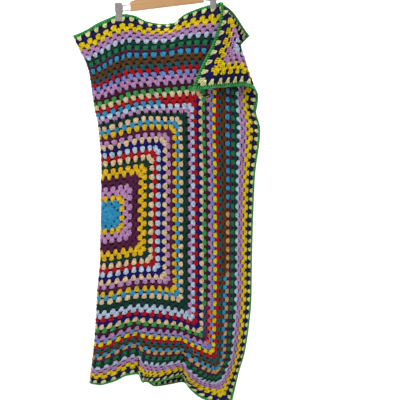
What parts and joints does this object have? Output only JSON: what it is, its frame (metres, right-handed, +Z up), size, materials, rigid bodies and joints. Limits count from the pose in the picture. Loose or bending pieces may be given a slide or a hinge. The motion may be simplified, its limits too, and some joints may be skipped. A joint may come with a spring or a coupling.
{
  "type": "afghan blanket on a two-clip wooden hanger",
  "caption": "Crocheted square afghan blanket, folded once and hung by its top edge from a wooden hanger with two grey clips.",
  "frame": {"origin": "inside the crown of the hanger's hook, the point that rests on a rail", "axes": "+Z up, +X to the viewer's right along the hanger, +Y away from the viewer, through the two layers"},
  "size_m": [0.6355, 0.1342, 1.5046],
  "materials": {
    "crocheted_yarn": "matte",
    "green_yarn": "matte",
    "wood": "satin",
    "steel_wire": "polished",
    "grey_plate": "satin"
  },
  "bodies": {
    "root": {"blanket_cloth": "crocheted_yarn", "green_edging": "green_yarn", "hanger_bar": "wood", "hook": "steel_wire", "ferrule": "steel_wire", "left_rail": "steel_wire", "right_rail": "steel_wire", "left_front_jaw": "grey_plate", "left_back_jaw": "grey_plate", "left_pivot": "steel_wire", "right_front_jaw": "grey_plate", "right_back_jaw": "grey_plate", "right_pivot": "steel_wire"}
  },
  "joints": []
}
